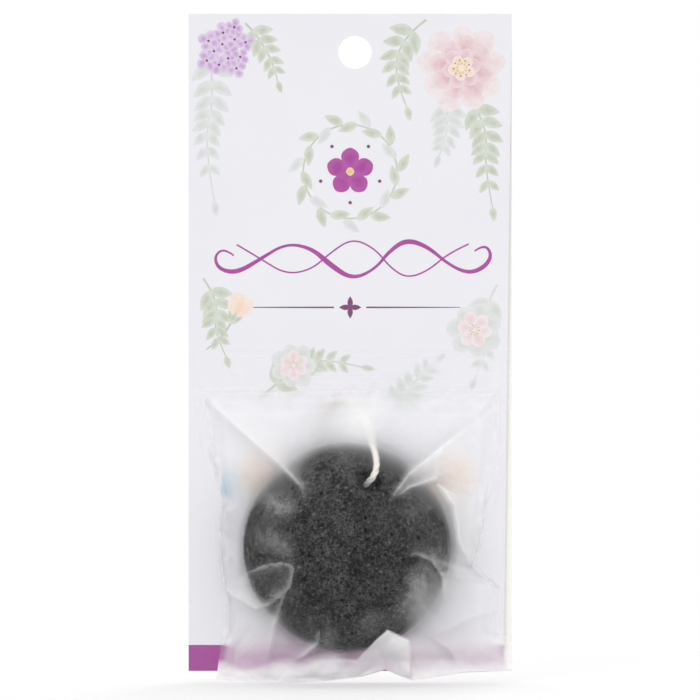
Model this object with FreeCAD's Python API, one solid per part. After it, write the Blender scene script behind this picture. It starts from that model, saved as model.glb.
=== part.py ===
import FreeCAD
import Part

import math
import os

from FreeCAD import Vector

# A konjac sponge on its hang card. Millimetres, +Z up, printed front towards -Y.
# The origin is the centre of the hang hole, half way through the folded card.

# Hang card: one strip of board folded at the top, with a punched hang hole
card_width = 100.0
card_height = 204.0
board = 0.45
leaf_gap = 0.5
hole_diameter = 10.5
hole_below_fold = 12.5
hole_right_of_middle = 1.5
front_leaf_taper = 2.5

# Sponge: a dome with a flat back
sponge_radius = 33.0
sponge_thickness = 27.0
rim_rounding = 5.0
side_rounding = 14.0
sponge_left_of_middle = 0.7
sponge_above_card_end = 38.3
sponge_seat = 0.3

# Cotton cord through the sponge
cord_diameter = 2.0
bore_clearance = 0.15
groove_clearance = 0.4
back_lift = 0.4
dimple_radius = 3.6
knot_length = 5.0
knot_pocket_clearance = 0.5

# Bag: two films, welded along the sides and the bottom, its right side along the card's edge
film = 0.2
film_clearance = 0.7
film_billow = 0.07
cord_film_clearance = 0.7
weld_width = 3.0
slack_left = 4.6
slack_below = 4.0
slack_above = 18.0
mouth_depth = 10.0
mouth_flare = 7.7
corner_rounding = 3.0

# Double-sided tape between the bag and the card
tape_thickness = 0.1
tape_height = 6.0
tape_inset = 4.0

# Sections of the front film: up to the dome, over the dome's side and over its crown. Each has a short
# straight stretch on each of its four sides.
foot_steps = 2
side_steps = 3
crown_steps = 7
section_straight = 0.6

# The front film's ridge over the cord: how far to both sides it reaches, and how far ahead it starts
ridge_reach = 8.0
ridge_lead = 5.0

# Places that follow from the sizes
card_left = -hole_right_of_middle - card_width / 2
card_right = card_left + card_width
card_bottom = hole_below_fold - card_height
fold_radius = leaf_gap / 2 + board
fold_z = hole_below_fold - fold_radius

back_film_y = -(fold_radius + tape_thickness)
bag_y = back_film_y - film
sponge_y = bag_y - sponge_seat
sponge_x = -hole_right_of_middle - sponge_left_of_middle
sponge_z = card_bottom + sponge_above_card_end

bag_left = sponge_x - sponge_radius - slack_left - weld_width
bag_right = card_right
bag_bottom = sponge_z - sponge_radius - slack_below - weld_width
bag_top = sponge_z + sponge_radius + slack_above + mouth_depth
slack_right = bag_right - weld_width - sponge_x - sponge_radius

cord_radius = cord_diameter / 2
groove_radius = cord_radius + groove_clearance
knot_radius = cord_diameter + cord_radius
knot_pocket_radius = knot_radius + knot_pocket_clearance
knot_pocket_depth = groove_clearance + knot_length + knot_pocket_clearance

# The dome's section: a crown arc that meets the arc of the side
side_across = sponge_radius - side_rounding
crown_height = sponge_thickness - rim_rounding
crown_square = side_across ** 2 + crown_height ** 2 - side_rounding ** 2
crown_radius = crown_square / (2 * (crown_height - side_rounding))
crown_tilt = math.atan2(side_across, crown_radius - crown_height)
shoulder = math.pi / 2 - crown_tilt

# The cord's free loop, from the front of the sponge over its top edge to the knot at its back.
# Points on the dome are (right of the sponge's middle, up from its top edge, out from the dome).
dome_route = [
    (6.4, -12.2, -3.47),
    (7.05, -11.5, -1.35),
    (7.9, -10.3, 0.64),
    (8.6, -8.6, 1.82),
    (8.85, -6.5, 2.26),
    (8.45, -3.9, 2.29),
]
# Points over the top edge are (right, up from the edge, out from the sponge's back)
edge_route = [
    (7.4, -0.8, 12.2),
    (6.2, 3.0, 7.8),
    (5.2, 7.2, 4.4),
    (2.6, 11.4, 2.5),
    (-2.6, 13.2, 1.8),
    (-7.6, 11.0, 1.6),
]
# Points behind the sponge are (right, up from the edge), and lie a little clear of the bag
back_route = [(-9.8, 6.0), (-9.0, 0.4), (-6.8, -5.0), (-4.4, -9.8), (-2.3, -14.1), (-1.2, -17.6)]
# Share of the shorter run that each bend of the cord takes up
bend_share = 0.45


def box(low, high):
    size = high - low
    return Part.makeBox(size.x, size.y, size.z, low)


def on_sponge(right, up, out):
    return Vector(sponge_x + right, sponge_y - out, sponge_z + up)


def dome_out(across):
    # How far the dome stands out from its back at a distance from its middle
    if across < crown_radius * math.sin(crown_tilt):
        return sponge_thickness - crown_radius + math.sqrt(crown_radius ** 2 - across ** 2)
    return rim_rounding + math.sqrt(max(0, side_rounding ** 2 - (across - side_across) ** 2))


def back_points():
    return [on_sponge(right, sponge_radius + up, cord_radius + back_lift) for right, up in back_route]


def cord_points():
    points = []
    for right, up, lift in dome_route:
        up += sponge_radius
        points.append(on_sponge(right, up, dome_out(math.hypot(right, up)) + lift))
    points += [on_sponge(right, sponge_radius + up, out) for right, up, out in edge_route]
    return points + back_points()


def leaf(front_y, taper):
    # A leaf of the card, whose right edge runs in towards its foot by the taper
    corners = [
        Vector(card_left, front_y, fold_z),
        Vector(card_left, front_y, card_bottom),
        Vector(card_right - taper, front_y, card_bottom),
        Vector(card_right, front_y, fold_z),
    ]
    thickness = Vector(0, board, 0)
    panel = Part.Face(Part.Wire(Part.makePolygon(corners + corners[:1]))).extrude(thickness)
    hole = Part.makeCylinder(hole_diameter / 2, board, Vector(0, front_y, 0), thickness)
    return panel.cut(hole)


def card_crease():
    # The front leaf's top edge, turned half round to meet the back leaf's
    corners = [
        Vector(card_left, -fold_radius, fold_z),
        Vector(card_right, -fold_radius, fold_z),
        Vector(card_right, -leaf_gap / 2, fold_z),
        Vector(card_left, -leaf_gap / 2, fold_z),
    ]
    edge = Part.Face(Part.Wire(Part.makePolygon(corners + corners[:1])))
    return edge.revolve(Vector(0, 0, fold_z), Vector(-1, 0, 0), 180)


def bag_outline(y):
    corners = [
        Vector(bag_left - mouth_flare, y, bag_top),
        Vector(bag_left, y, bag_bottom),
        Vector(bag_right, y, bag_bottom),
        Vector(bag_right, y, bag_top),
    ]
    return Part.Wire(Part.makePolygon(corners + corners[:1]))


def film_sheet(y):
    return Part.Face(bag_outline(y)).extrude(Vector(0, -film, 0))


def film_arcs(clear):
    # The two arcs of the dome's section that the film follows, at a distance from the dome: each with
    # its centre's distance from the middle and height over the bag's back, its radius and lowest angle
    crown = (0.0, sponge_seat + sponge_thickness - crown_radius, crown_radius + clear, shoulder)
    side = (side_across, sponge_seat + rim_rounding, side_rounding + clear, 0.0)
    return crown, side


def film_touch(base, clear):
    # Where a film drawn tight from its weld first meets the dome
    for across, level, radius, lowest in film_arcs(clear):
        away = math.hypot(base - across, level)
        if away > radius:
            angle = math.acos(radius / away) - math.atan2(level, base - across)
            if angle >= lowest:
                return across + radius * math.cos(angle), level + radius * math.sin(angle)
    return base, 0.0


def film_reach(base, clear, height):
    # Distance from the sponge's middle to the film: from the weld with a little slack, then over the dome
    touch, touch_height = film_touch(base, clear)
    if height < touch_height:
        share = height / touch_height
        span_square = (base - touch) ** 2 + touch_height ** 2
        billow = film_billow * span_square / touch_height * 16 * (share * (1 - share)) ** 2
        return base - (base - touch) * share + billow
    crown, side = film_arcs(clear)
    on_side = height < side[1] + side[2] * math.sin(shoulder)
    across, level, radius, _ = side if on_side else crown
    return across + math.sqrt(max(0.0, radius ** 2 - (height - level) ** 2))


def ridge_foot(right, up, inset):
    # A place on the sponge, or on the straight stretch of a tight film from the sponge to the bag's mouth
    base = sponge_radius + slack_above
    touch, touch_height = film_touch(base, 0.0)
    across = math.hypot(right, up)
    straight = touch_height * (base - across) / (base - touch) - sponge_seat
    return on_sponge(right, up, (straight if across > touch else dome_out(across)) - inset)


def film_heights(clear):
    crown, side = film_arcs(clear)
    angles = [shoulder * step / side_steps for step in range(1, side_steps + 1)]
    heights = [side[1] + side[2] * math.sin(angle) for angle in angles]
    tilts = [crown_tilt * step / crown_steps for step in range(crown_steps - 1, 0, -1)]
    heights += [crown[1] + crown[2] * math.cos(tilt) for tilt in tilts]
    return [heights[0] * step / foot_steps for step in range(foot_steps)] + heights


def film_section(height, clear, inset, y):
    # A rounded rectangle that turns round as it rises to the dome's shoulder
    slacks = (slack_left, slack_right, slack_below, slack_above)
    reaches = [film_reach(sponge_radius + slack - inset, clear, height) for slack in slacks]
    left, right, below, above = reaches
    widest = min(reaches) - section_straight / 2
    share = min(1.0, height / film_heights(clear)[foot_steps + side_steps - 1])
    radius = min(widest, corner_rounding + (widest - corner_rounding) * share)
    corners = [(right, above, 0), (-left, above, 90), (-left, -below, 180), (right, -below, 270)]
    edges = []
    last = None
    for across, up, angle in corners:
        across -= math.copysign(radius, across)
        up -= math.copysign(radius, up)
        centre = Vector(sponge_x + across, y, sponge_z + up)
        points = []
        for turn in (0, 45, 90):
            a = math.radians(angle + turn)
            points.append(centre + Vector(radius * math.cos(a), 0, radius * math.sin(a)))
        if last is not None:
            edges.append(Part.LineSegment(last, points[0]).toShape())
        else:
            first = points[0]
        edges.append(Part.Arc(points[0], points[1], points[2]).toShape())
        last = points[2]
    edges.append(Part.LineSegment(last, first).toShape())
    return Part.Wire(edges)


def film_tent(inset, foot):
    clear = film_clearance + film - inset
    sections = []
    if foot:
        sections.append(film_section(0.0, clear, inset, bag_y + foot))
    for height in film_heights(clear):
        sections.append(film_section(height, clear, inset, bag_y - height))
    return Part.makeLoft(sections, True, True)


def film_ridge(inset):
    # The film stands up along the cord and falls to the dome on both sides of it
    out = Vector(0, -1, 0)
    points = cord_points()[1:len(dome_route) + 2]
    lift = cord_radius + cord_film_clearance + film - inset
    right, up, _ = dome_route[0]
    sections = [Part.Vertex(ridge_foot(right, sponge_radius + up - ridge_lead, inset))]
    for before, point, after in zip(points, points[1:], points[2:]):
        along = (after - before).normalize()
        top = point + (out - along * out.dot(along)).normalize() * lift
        right = top.x - sponge_x
        up = top.z - sponge_z
        left_foot = ridge_foot(right - ridge_reach, up, inset)
        right_foot = ridge_foot(right + ridge_reach, up, inset)
        sections.append(Part.Wire(Part.makePolygon([left_foot, top, right_foot, left_foot])))
    sections.append(Part.Vertex(points[-1] - out * inset))
    return Part.makeLoft(sections, True, True)


def bag_front_film():
    skin = film_sheet(bag_y).fuse([film_tent(0.0, 0.0), film_ridge(0.0)])
    return skin.cut([film_tent(film, film), film_ridge(film)]).removeSplitter()


def tape_strip(top):
    left = max(card_left, bag_left) + tape_inset
    right = min(card_right, bag_right) - tape_inset
    low = Vector(left, back_film_y, top - tape_height)
    return box(low, Vector(right, back_film_y + tape_thickness, top))


def sponge_dome():
    half = math.radians(45)

    def side(angle):
        out = rim_rounding + side_rounding * math.sin(angle)
        return Vector(side_across + side_rounding * math.cos(angle), 0, out)

    def top(angle):
        out = sponge_thickness - crown_radius + crown_radius * math.cos(angle)
        return Vector(crown_radius * math.sin(angle), 0, out)

    foot = Vector(sponge_radius - rim_rounding, 0, 0)
    rim_middle = foot + Vector(math.sin(half), 0, 1 - math.cos(half)) * rim_rounding
    edges = [
        Part.LineSegment(Vector(0, 0, 0), foot).toShape(),
        Part.Arc(foot, rim_middle, side(0)).toShape(),
        Part.Arc(side(0), side(shoulder / 2), side(shoulder)).toShape(),
        Part.Arc(top(crown_tilt), top(crown_tilt / 2), top(0)).toShape(),
        Part.LineSegment(top(0), Vector(0, 0, 0)).toShape(),
    ]
    dome = Part.Face(Part.Wire(edges)).revolve(Vector(0, 0, 0), Vector(0, 0, 1), 360)
    dome.Placement = FreeCAD.Placement(on_sponge(0, 0, 0), FreeCAD.Rotation(Vector(1, 0, 0), 90))
    return dome


def bore_ends():
    # The bore runs straight back from the cord's first run to the sponge's flat back
    front, second = cord_points()[:2]
    along = second - front
    return front - along * ((sponge_y - front.y) / -along.y), front


def cord_groove():
    # A channel pressed into the flat back by the cord, with a pocket for the knot at its end
    out = Vector(0, -1, 0)
    places = [point - out * (cord_radius + back_lift) for point in back_points()]
    places.append(bore_ends()[0])
    depth = cord_radius + back_lift + groove_radius
    pieces = []
    for start, end in zip(places, places[1:]):
        run = end - start
        side = run.cross(out).normalize() * groove_radius
        corners = [start - side, end - side, end + side, start + side]
        slot = Part.Face(Part.Wire(Part.makePolygon(corners + corners[:1])))
        pieces.append(slot.extrude(out * depth))
        pieces.append(Part.makeCylinder(groove_radius, depth, end, out))
    pieces.append(Part.makeCylinder(knot_pocket_radius, knot_pocket_depth, places[-1], out))
    return pieces


def sponge():
    back, front = bore_ends()
    along = front - back
    bore = Part.makeCylinder(cord_radius + bore_clearance, along.Length, back, along)
    dimple = Part.makeSphere(dimple_radius, front + Vector(0, -dimple_radius + cord_diameter / 2, 0))
    return sponge_dome().cut([bore, dimple] + cord_groove())


def cord_path(points):
    # Straight runs joined by tangent arcs, each arc as large as its two runs allow
    edges = []
    radii = []
    last = points[0]
    for before, corner, after in zip(points, points[1:], points[2:]):
        incoming = (corner - before).normalize()
        outgoing = (after - corner).normalize()
        turn = incoming.getAngle(outgoing)
        reach = bend_share * min((corner - before).Length, (after - corner).Length)
        radius = reach / math.tan(turn / 2)
        radii.append(radius)
        start = corner - incoming * reach
        end = corner + outgoing * reach
        inward = (outgoing - incoming).normalize()
        middle = corner + inward * (radius / math.cos(turn / 2) - radius)
        edges.append(Part.LineSegment(last, start).toShape())
        edges.append(Part.Arc(start, middle, end).toShape())
        last = end
    edges.append(Part.LineSegment(last, points[-1]).toShape())
    return Part.Wire(edges), radii


def sponge_cord():
    points = cord_points()
    path, radii = cord_path(points)
    ring = Part.Wire(Part.makeCircle(cord_radius, points[0], points[1] - points[0]))
    tube = path.makePipeShell([ring], True, False)
    section = math.pi * cord_radius ** 2
    print("cord radii", [round(radius, 2) for radius in radii])
    print("cord length", round(path.Length, 2), "volume", round(tube.Volume, 2))
    print("cord section times length", round(section * path.Length, 2))
    return tube


def cord_bore_run():
    back, front = bore_ends()
    along = (front - back).normalize()
    start = back + along * (knot_length / 2)
    return Part.makeCylinder(cord_radius, (front - start).Length, start, along)


def cord_knot():
    # Two turns of the cord drawn tight round it
    out = Vector(0, -1, 0)
    middle = bore_ends()[0] + out * (groove_clearance + cord_radius)
    spacing = (knot_length - cord_diameter) / 2
    knot = Part.makeCylinder(cord_diameter, 2 * spacing, middle, out)
    for place in (0, 1, 2):
        turn = Part.makeTorus(cord_diameter, cord_radius, middle + out * (place * spacing), out)
        knot = knot.fuse(turn)
    return knot.removeSplitter()


def build():
    return {
        "card_front_leaf": leaf(-fold_radius, front_leaf_taper),
        "card_back_leaf": leaf(leaf_gap / 2, 0),
        "card_crease": card_crease(),
        "bag_back_film": film_sheet(back_film_y),
        "bag_front_film": bag_front_film(),
        "bag_tape_upper": tape_strip(bag_top - (mouth_depth - tape_height) / 2),
        "bag_tape_lower": tape_strip(max(card_bottom, bag_bottom) + tape_inset + tape_height),
        "sponge": sponge(),
        "sponge_cord": sponge_cord(),
        "cord_bore_run": cord_bore_run(),
        "cord_knot": cord_knot(),
    }


os.makedirs("parts", exist_ok=True)
for name, shape in build().items():
    shape.exportStep("parts/" + name + ".step")
    print(name, "solids", len(shape.Solids), "volume", round(shape.Volume, 2), "valid", shape.isValid())
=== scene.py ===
import math

import bpy
import numpy as np
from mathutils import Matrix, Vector, noise


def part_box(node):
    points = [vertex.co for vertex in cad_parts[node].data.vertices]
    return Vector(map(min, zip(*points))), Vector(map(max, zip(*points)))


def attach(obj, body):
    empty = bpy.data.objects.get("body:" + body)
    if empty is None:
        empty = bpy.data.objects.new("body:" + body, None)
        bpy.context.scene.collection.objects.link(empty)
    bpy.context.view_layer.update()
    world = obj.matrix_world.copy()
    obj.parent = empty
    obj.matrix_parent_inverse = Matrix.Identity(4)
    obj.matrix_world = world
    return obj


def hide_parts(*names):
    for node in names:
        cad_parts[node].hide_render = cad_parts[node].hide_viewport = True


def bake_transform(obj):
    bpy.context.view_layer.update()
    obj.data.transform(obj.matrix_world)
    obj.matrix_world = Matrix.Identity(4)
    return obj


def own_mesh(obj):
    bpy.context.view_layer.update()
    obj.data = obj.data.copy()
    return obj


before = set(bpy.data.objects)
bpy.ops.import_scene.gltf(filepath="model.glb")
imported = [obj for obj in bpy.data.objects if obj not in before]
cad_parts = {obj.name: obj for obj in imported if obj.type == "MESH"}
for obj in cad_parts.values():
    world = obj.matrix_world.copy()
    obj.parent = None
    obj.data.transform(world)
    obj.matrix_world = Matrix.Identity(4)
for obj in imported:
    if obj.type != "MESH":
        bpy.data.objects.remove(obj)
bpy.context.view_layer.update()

mm = 0.001

# Places that come from the solids
spongeLow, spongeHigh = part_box("sponge")
spongeMid = Vector(((spongeLow.x + spongeHigh.x) / 2, spongeHigh.y, (spongeLow.z + spongeHigh.z) / 2))
leafLow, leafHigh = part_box("card_front_leaf")
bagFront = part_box("bag_back_film")[0].y   # the back film's front face, where the front film is welded on


# Small helpers

def deselect():
    if bpy.context.object and bpy.context.object.mode != "OBJECT":
        bpy.ops.object.mode_set(mode="OBJECT")
    bpy.ops.object.select_all(action="DESELECT")


def pick(piece):
    deselect()
    piece.select_set(True)
    bpy.context.view_layer.objects.active = piece


def applyAll(piece):
    pick(piece)
    for modifier in list(piece.modifiers):
        bpy.ops.object.modifier_apply(modifier=modifier.name)


def thicken(piece, thickness, offset=0):
    skin = piece.modifiers.new("skin", "SOLIDIFY")
    skin.thickness = thickness
    skin.offset = offset
    applyAll(piece)


def getPoints(piece):
    flat = np.empty(len(piece.data.vertices) * 3)
    piece.data.vertices.foreach_get("co", flat)
    return flat.reshape(-1, 3)


def setPoints(piece, points):
    piece.data.vertices.foreach_set("co", np.asarray(points, float).ravel())
    piece.data.update()


def paint(piece, name, values):
    layer = piece.data.attributes.get(name) or piece.data.attributes.new(name, "FLOAT", "POINT")
    layer.data.foreach_set("value", np.asarray(values, np.float32))


def smoothStep(low, high, value):
    # 0 at low, 1 at high, also where high is the lesser
    share = np.clip((value - low) / (high - low), 0, 1)
    return share * share * (3 - 2 * share)


def fromSrgb(red, green, blue):
    def one(level):
        share = level / 255
        return share / 12.92 if share <= 0.04045 else ((share + 0.055) / 1.055) ** 2.4
    return (one(red), one(green), one(blue), 1)


# Material helpers

def newMaterial(name):
    material = bpy.data.materials.new(name)
    material.use_nodes = True
    tree = material.node_tree
    shader = tree.nodes["Principled BSDF"]
    return material, tree, shader


def feed(tree, socket, value):
    if isinstance(value, bpy.types.NodeSocket):
        tree.links.new(value, socket)
    else:
        socket.default_value = value


def addNode(tree, kind, settings=None, **inputs):
    node = tree.nodes.new(kind)
    for key, value in (settings or {}).items():
        setattr(node, key, value)
    for key, value in inputs.items():
        feed(tree, node.inputs[key], value)
    return node


def attribute(tree, name):
    return addNode(tree, "ShaderNodeAttribute", {"attribute_name": name}).outputs["Fac"]


def objectPlace(tree):
    return addNode(tree, "ShaderNodeTexCoord").outputs["Object"]


def mixShaders(tree, share, first, second):
    node = addNode(tree, "ShaderNodeMixShader", Fac=share)
    tree.links.new(first, node.inputs[1])
    tree.links.new(second, node.inputs[2])
    return node.outputs["Shader"]


def showSurface(tree, surface):
    tree.links.new(surface, tree.nodes["Material Output"].inputs["Surface"])


def ramp(tree, source, stops):
    node = addNode(tree, "ShaderNodeValToRGB", Fac=source)
    elements = node.color_ramp.elements
    while len(elements) < len(stops):
        elements.new(0.5)
    for element, (place, colour) in zip(elements, stops):
        element.position = place
        element.color = colour
    return node.outputs["Color"]


def remap(tree, source, low, high, outLow, outHigh):
    node = addNode(tree, "ShaderNodeMapRange", Value=source)
    for key, value in (("From Min", low), ("From Max", high), ("To Min", outLow), ("To Max", outHigh)):
        node.inputs[key].default_value = value
    return node.outputs["Result"]


def maths(tree, operation, first, second=0.5):
    node = tree.nodes.new("ShaderNodeMath")
    node.operation = operation
    for socket, value in zip(node.inputs, (first, second)):
        feed(tree, socket, value)
    return node.outputs["Value"]


def mixColour(tree, share, first, second):
    node = tree.nodes.new("ShaderNodeMix")
    node.data_type = "RGBA"
    for index, value in ((0, share), (6, first), (7, second)):
        feed(tree, node.inputs[index], value)
    return node.outputs[2]


def noiseAt(tree, scale, detail=4.0, roughness=0.55):
    node = addNode(tree, "ShaderNodeTexNoise", Vector=objectPlace(tree), Scale=scale, Detail=detail,
                   Roughness=roughness)
    return node.outputs["Fac"]


def bumpOn(tree, shader, height, strength, distance):
    node = addNode(tree, "ShaderNodeBump", Height=height, Strength=strength, Distance=distance)
    tree.links.new(node.outputs["Normal"], shader.inputs["Normal"])


def finishPiece(piece, material, body):
    piece.data.materials.clear()
    piece.data.materials.append(material)
    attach(piece, body)


# Camera: straight on, at the height of the card's middle

cameraSetup = {
    "aim": Vector((-1.55 * mm, 0, -92.2 * mm)),
    "distance": 1.4,
    "frameWidth": 216.7 * mm,   # what the picture spans at the card
    "sensor": 36.0,
}


def makeCamera():
    data = bpy.data.cameras.new("camera")
    data.sensor_width = cameraSetup["sensor"]
    data.lens = cameraSetup["sensor"] * cameraSetup["distance"] / cameraSetup["frameWidth"]
    camera = bpy.data.objects.new("camera", data)
    bpy.context.scene.collection.objects.link(camera)
    camera.location = cameraSetup["aim"] + Vector((0, -cameraSetup["distance"], 0))
    camera.rotation_euler = (math.pi / 2, 0, 0)
    bpy.context.scene.camera = camera
    print("camera: lens", round(data.lens, 1))


makeCamera()


# Cotton cord: plies twisted round the line of a smooth route

cordLook = {
    "diameter": 2 * mm,
    "length": 73.8 * mm,
    "plies": 3,
    "plyRadius": 0.56 * mm,
    "layRadius": 0.45 * mm,
    "lay": 7.5 * mm,          # length of one turn of the twist
    "sides": 10,
}
# Millimetres right of the sponge's middle, up from it and out from its back
cordRoute = [
    (6.4, 20.8, 17.2),
    (7.05, 21.5, 18.75),
    (7.9, 22.7, 19.75),
    (8.6, 24.4, 19.5),
    (8.85, 26.5, 18.1),
    (8.45, 29.1, 15.55),
    (7.4, 32.2, 12.2),
    (6.1, 35.5, 6.8),
    (4.8, 39.8, 3.2),
    (2.4, 43.8, 2.0),
    (-2.6, 46.2, 1.8),
    (-7.6, 44.0, 1.6),
    (-9.8, 39.0, 1.4),
    (-9.0, 33.4, 1.4),
    (-6.8, 28.0, 1.4),
    (-4.4, 23.2, 1.4),
    (-2.3, 18.9, 1.4),
    (-1.2, 15.4, 1.4),
]


def onSponge(right, up, out):
    return spongeMid + Vector((right, -out, up)) * mm


def nurbsLine(name, points, resolution, closed=False):
    curve = bpy.data.curves.new(name, "CURVE")
    curve.dimensions = "3D"
    curve.resolution_u = resolution
    spline = curve.splines.new("NURBS")
    spline.points.add(len(points) - 1)
    for place, point in zip(spline.points, points):
        place.co = (*point, 1)
    spline.order_u = 3
    spline.use_endpoint_u = not closed
    spline.use_cyclic_u = closed
    holder = bpy.data.objects.new(name, curve)
    bpy.context.scene.collection.objects.link(holder)
    return holder


def smoothLine(points):
    holder = nurbsLine("line", points, 14)
    mesh = bpy.data.meshes.new_from_object(holder)
    line = np.array([vertex.co for vertex in mesh.vertices])
    bpy.data.objects.remove(holder)
    bpy.data.meshes.remove(mesh)
    return line


def frameAlong(line):
    # Tangents, and sideways directions that turn no more than the line does
    tangents = np.gradient(line, axis=0)
    tangents /= np.linalg.norm(tangents, axis=1)[:, None]
    side = np.cross(tangents[0], (1, 0, 0))
    sides = []
    for tangent in tangents:
        side = side - tangent * side.dot(tangent)
        side = side / np.linalg.norm(side)
        sides.append(side)
    sides = np.array(sides)
    return sides, np.cross(tangents, sides)


def strandMesh(middle, sides, ups, even):
    # One ply: a closed tube of rings along its own line
    count = cordLook["sides"]
    rings = []
    for index in range(count):
        angle = 2 * math.pi * index / count
        rings.append(middle + cordLook["plyRadius"] * (math.cos(angle) * sides + math.sin(angle) * ups))
    points = np.stack(rings, axis=1).reshape(-1, 3)
    faces = [tuple(range(count))[::-1]]
    for low in range(0, len(points) - count, count):
        for index in range(count):
            after = (index + 1) % count
            faces.append((low + index, low + after, low + count + after, low + count + index))
    faces.append(tuple(range(len(points) - count, len(points))))
    mesh = bpy.data.meshes.new("strand")
    mesh.from_pydata(points.tolist(), [], faces)
    strand = bpy.data.objects.new("strand", mesh)
    bpy.context.scene.collection.objects.link(strand)
    paint(strand, "run", np.repeat(even, count))
    return strand


def twistedCord(name, line):
    steps = np.linalg.norm(np.diff(line, axis=0), axis=1)
    along = np.concatenate([[0], np.cumsum(steps)])
    even = np.linspace(0, along[-1], int(along[-1] / (0.35 * mm)) + 2)
    line = np.stack([np.interp(even, along, line[:, axis]) for axis in range(3)], axis=1)
    sides, ups = frameAlong(line)
    strands = []
    for ply in range(cordLook["plies"]):
        turn = 2 * math.pi * (even / cordLook["lay"] + ply / cordLook["plies"])
        cosTurn = np.cos(turn)[:, None]
        sinTurn = np.sin(turn)[:, None]
        middle = line + cordLook["layRadius"] * (cosTurn * sides + sinTurn * ups)
        strands.append(strandMesh(middle, sides, ups, even))
    deselect()
    for strand in strands:
        strand.select_set(True)
    bpy.context.view_layer.objects.active = strands[0]
    bpy.ops.object.join()
    cord = bpy.context.object
    cord.name = name
    bpy.ops.object.shade_smooth()
    return cord, line


def cottonMaterial():
    material, tree, shader = newMaterial("cotton")
    fibre = noiseAt(tree, 2600, 5.0, 0.7)
    tuft = noiseAt(tree, 420, 3.0)
    colour = ramp(tree, fibre, [(0.25, fromSrgb(226, 221, 211)), (0.7, fromSrgb(250, 248, 243))])
    shaded = mixColour(tree, remap(tree, tuft, 0.35, 0.7, 0.0, 0.25), colour, fromSrgb(214, 206, 192))
    tree.links.new(shaded, shader.inputs["Base Color"])
    shader.inputs["Roughness"].default_value = 0.85
    shader.inputs["Sheen Weight"].default_value = 0.35
    bumpOn(tree, shader, fibre, 0.6, 0.12 * mm)
    return material


def makeCord():
    cotton = cottonMaterial()
    line = smoothLine([onSponge(*point) for point in cordRoute])
    cord, path = twistedCord("hangingCord", line)
    finishPiece(cord, cotton, "sponge")
    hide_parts("sponge_cord")
    low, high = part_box("cord_bore_run")
    start = onSponge(*cordRoute[0])
    ahead = onSponge(*cordRoute[1]) - start
    inner = start - ahead * ((high.y - start.y) / -ahead.y)
    bore, _ = twistedCord("cordInSponge", np.array([inner, (inner + start) / 2, start]))
    finishPiece(bore, cotton, "sponge")
    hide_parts("cord_bore_run")
    return cord, path, cotton


hangingCord, cordPath, cotton = makeCord()
print("cord: points", len(cordPath))


# Knot behind the sponge: two turns of the cord drawn tight round it

knotLook = {
    "turns": 2.25,
    "radius": 2.0 * mm,
    "spacing": 1.45 * mm,
    "steps": 14,
}


def makeKnot():
    low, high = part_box("cord_knot")
    middle = (low + high) / 2
    count = int(knotLook["turns"] * knotLook["steps"])
    points = []
    for index in range(count + 1):
        turn = 2 * math.pi * index / knotLook["steps"]
        out = (index / count - 0.5) * knotLook["spacing"] * knotLook["turns"]
        points.append(middle + Vector((
            knotLook["radius"] * math.cos(turn), out, knotLook["radius"] * math.sin(turn))))
    # The tail tucks back through the turns
    for share in (0.75, 0.3, -0.3, -0.75):
        points.append(middle + Vector((0.2 * mm, share * knotLook["spacing"] * knotLook["turns"] / 2, 0.3 * mm)))
    knot, _ = twistedCord("cordKnot", smoothLine(points))
    finishPiece(knot, cotton, "sponge")
    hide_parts("cord_knot")
    return knot


cordKnot = makeKnot()
print("knot: vertices", len(cordKnot.data.vertices))


# Sponge: the solid's dome, made lumpy and full of pores

spongeLook = {
    "voxel": 0.38 * mm,
    "lump": 0.6 * mm,         # height and size of the soft unevenness
    "lumpSize": 15 * mm,
    "grain": 0.3 * mm,
    "grainSize": 1.3 * mm,
    "pore": 0.9 * mm,         # depth and spacing of the larger pores
    "poreSpacing": 3.6 * mm,
}


def makeSponge():
    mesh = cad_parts["sponge"].data.copy()
    sponge = bpy.data.objects.new("konjacSponge", mesh)
    bpy.context.scene.collection.objects.link(sponge)
    pick(sponge)
    bpy.ops.object.mode_set(mode="EDIT")
    bpy.ops.mesh.select_all(action="SELECT")
    bpy.ops.mesh.remove_doubles(threshold=0.01 * mm)
    bpy.ops.object.mode_set(mode="OBJECT")
    remesh = sponge.modifiers.new("remesh", "REMESH")
    remesh.mode = "VOXEL"
    remesh.voxel_size = spongeLook["voxel"]
    soften = sponge.modifiers.new("soften", "SMOOTH")
    soften.factor = 0.5
    soften.iterations = 3
    applyAll(sponge)
    bpy.ops.object.shade_smooth()
    points = getPoints(sponge)
    normals = np.empty(len(points) * 3)
    sponge.data.vertices.foreach_get("normal", normals)
    normals = normals.reshape(-1, 3)
    lumps = np.array([noise.noise(Vector(p) / spongeLook["lumpSize"]) for p in points])
    grain = np.array([noise.fractal(Vector(p) / spongeLook["grainSize"], 0.8, 2.1, 3) for p in points])
    nearest = np.array([noise.voronoi(Vector(p) / spongeLook["poreSpacing"])[0][0] for p in points])
    pores = 1 - smoothStep(0.02, 0.26, nearest)
    push = spongeLook["lump"] * (lumps - 0.4) + spongeLook["grain"] * (grain - 0.3) - spongeLook["pore"] * pores
    points = points + normals * np.minimum(push, 0)[:, None]
    setPoints(sponge, points)
    # The pore mask also darkens the colour there: painted shade in the hollows
    paint(sponge, "pore", pores)
    return sponge


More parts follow.
